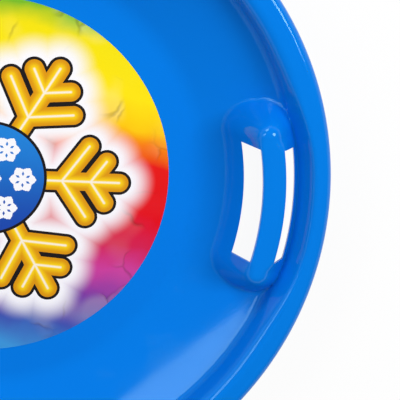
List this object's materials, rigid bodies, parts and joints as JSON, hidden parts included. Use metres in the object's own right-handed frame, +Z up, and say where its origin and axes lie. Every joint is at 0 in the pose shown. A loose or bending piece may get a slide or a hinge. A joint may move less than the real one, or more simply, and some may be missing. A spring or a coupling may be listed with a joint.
{
  "type": "saucer sled",
  "caption": "Round plastic saucer sled: a shallow dish with a flat floor, a rolled lip, a raised slotted grip on either side and a round printed label stuck on the floor.",
  "frame": {"origin": "middle of the underside of the floor, where the sled stands on flat ground", "axes": "+Z up, out of the dish; +X through the middle of one grip, -X through the middle of the other"},
  "size_m": [0.6, 0.6, 0.0695],
  "materials": {
    "shell_plastic": "smooth glossy moulded polyethylene, bright blue",
    "label_film": "printed film, satin"
  },
  "bodies": {
    "root": {"saucer_shell": "shell_plastic", "printed_label": "label_film"}
  },
  "joints": []
}
